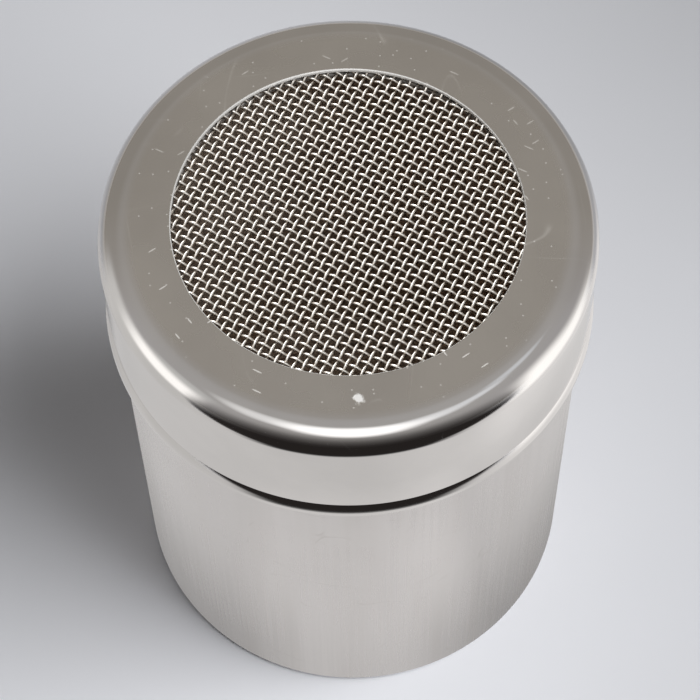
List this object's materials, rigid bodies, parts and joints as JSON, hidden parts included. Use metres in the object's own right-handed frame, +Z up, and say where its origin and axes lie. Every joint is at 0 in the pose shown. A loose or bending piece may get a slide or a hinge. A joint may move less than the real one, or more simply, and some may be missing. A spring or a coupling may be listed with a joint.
{
  "type": "spice shaker",
  "caption": "Steel shaker: drawn round can with a slip-on round-shouldered lid whose wide opening is closed by a disc of woven wire mesh, for shaking out spice, cocoa or sugar.",
  "frame": {"origin": "centre of the foot ring, on the surface that the shaker stands on", "axes": "+Z up along the axis of the can; -Y towards the picture's camera"},
  "size_m": [0.0722, 0.0722, 0.0913],
  "materials": {
    "can_steel": "satin stainless steel with faint upright brushing",
    "lid_steel": "polished stainless steel, worn satin on the flat top",
    "mesh_wire": "bright drawn stainless wire",
    "clamp_steel": "plain mill-finish stainless sheet"
  },
  "bodies": {
    "can": {"can_body": "can_steel"},
    "lid": {"lid_cap": "lid_steel", "mesh_warp_wires": "mesh_wire", "mesh_weft_wires": "mesh_wire", "mesh_clamp_ring": "clamp_steel"}
  },
  "joints": [
    {"name": "lid_lift", "type": "slide", "parent": "can", "child": "lid", "axis": [0, 0, 1], "range_m": [0, 0.03]}
  ]
}
